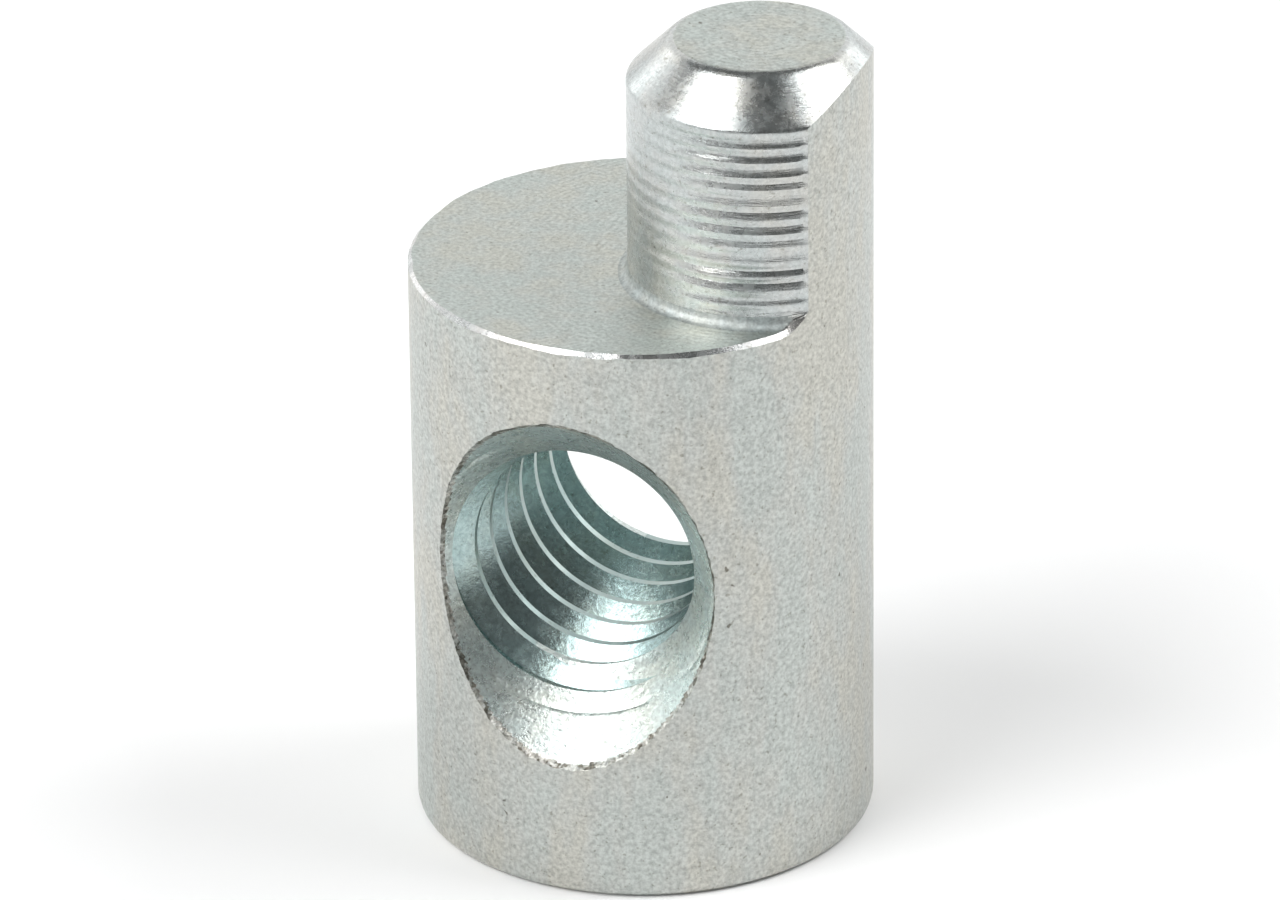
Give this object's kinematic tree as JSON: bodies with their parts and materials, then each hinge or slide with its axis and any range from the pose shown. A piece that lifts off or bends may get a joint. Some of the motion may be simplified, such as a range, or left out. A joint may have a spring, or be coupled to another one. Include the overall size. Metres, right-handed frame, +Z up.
{
  "type": "chain tensioner bolt",
  "caption": "Round steel barrel with a cross-tapped bore countersunk at both mouths and an off-centre pin on top, flush with the barrel's side.",
  "frame": {"origin": "centre of the barrel's flat underside, on the barrel's axis", "axes": "+Z up the barrel's axis towards the pin, +X towards the side that carries the pin, Y along the tapped cross bore"},
  "size_m": [0.01, 0.01, 0.0185],
  "materials": {
    "zinc_plated_steel": "zinc plated and clear passivated, satin"
  },
  "bodies": {
    "root": {"tensioner_bolt": "zinc_plated_steel"}
  },
  "joints": []
}
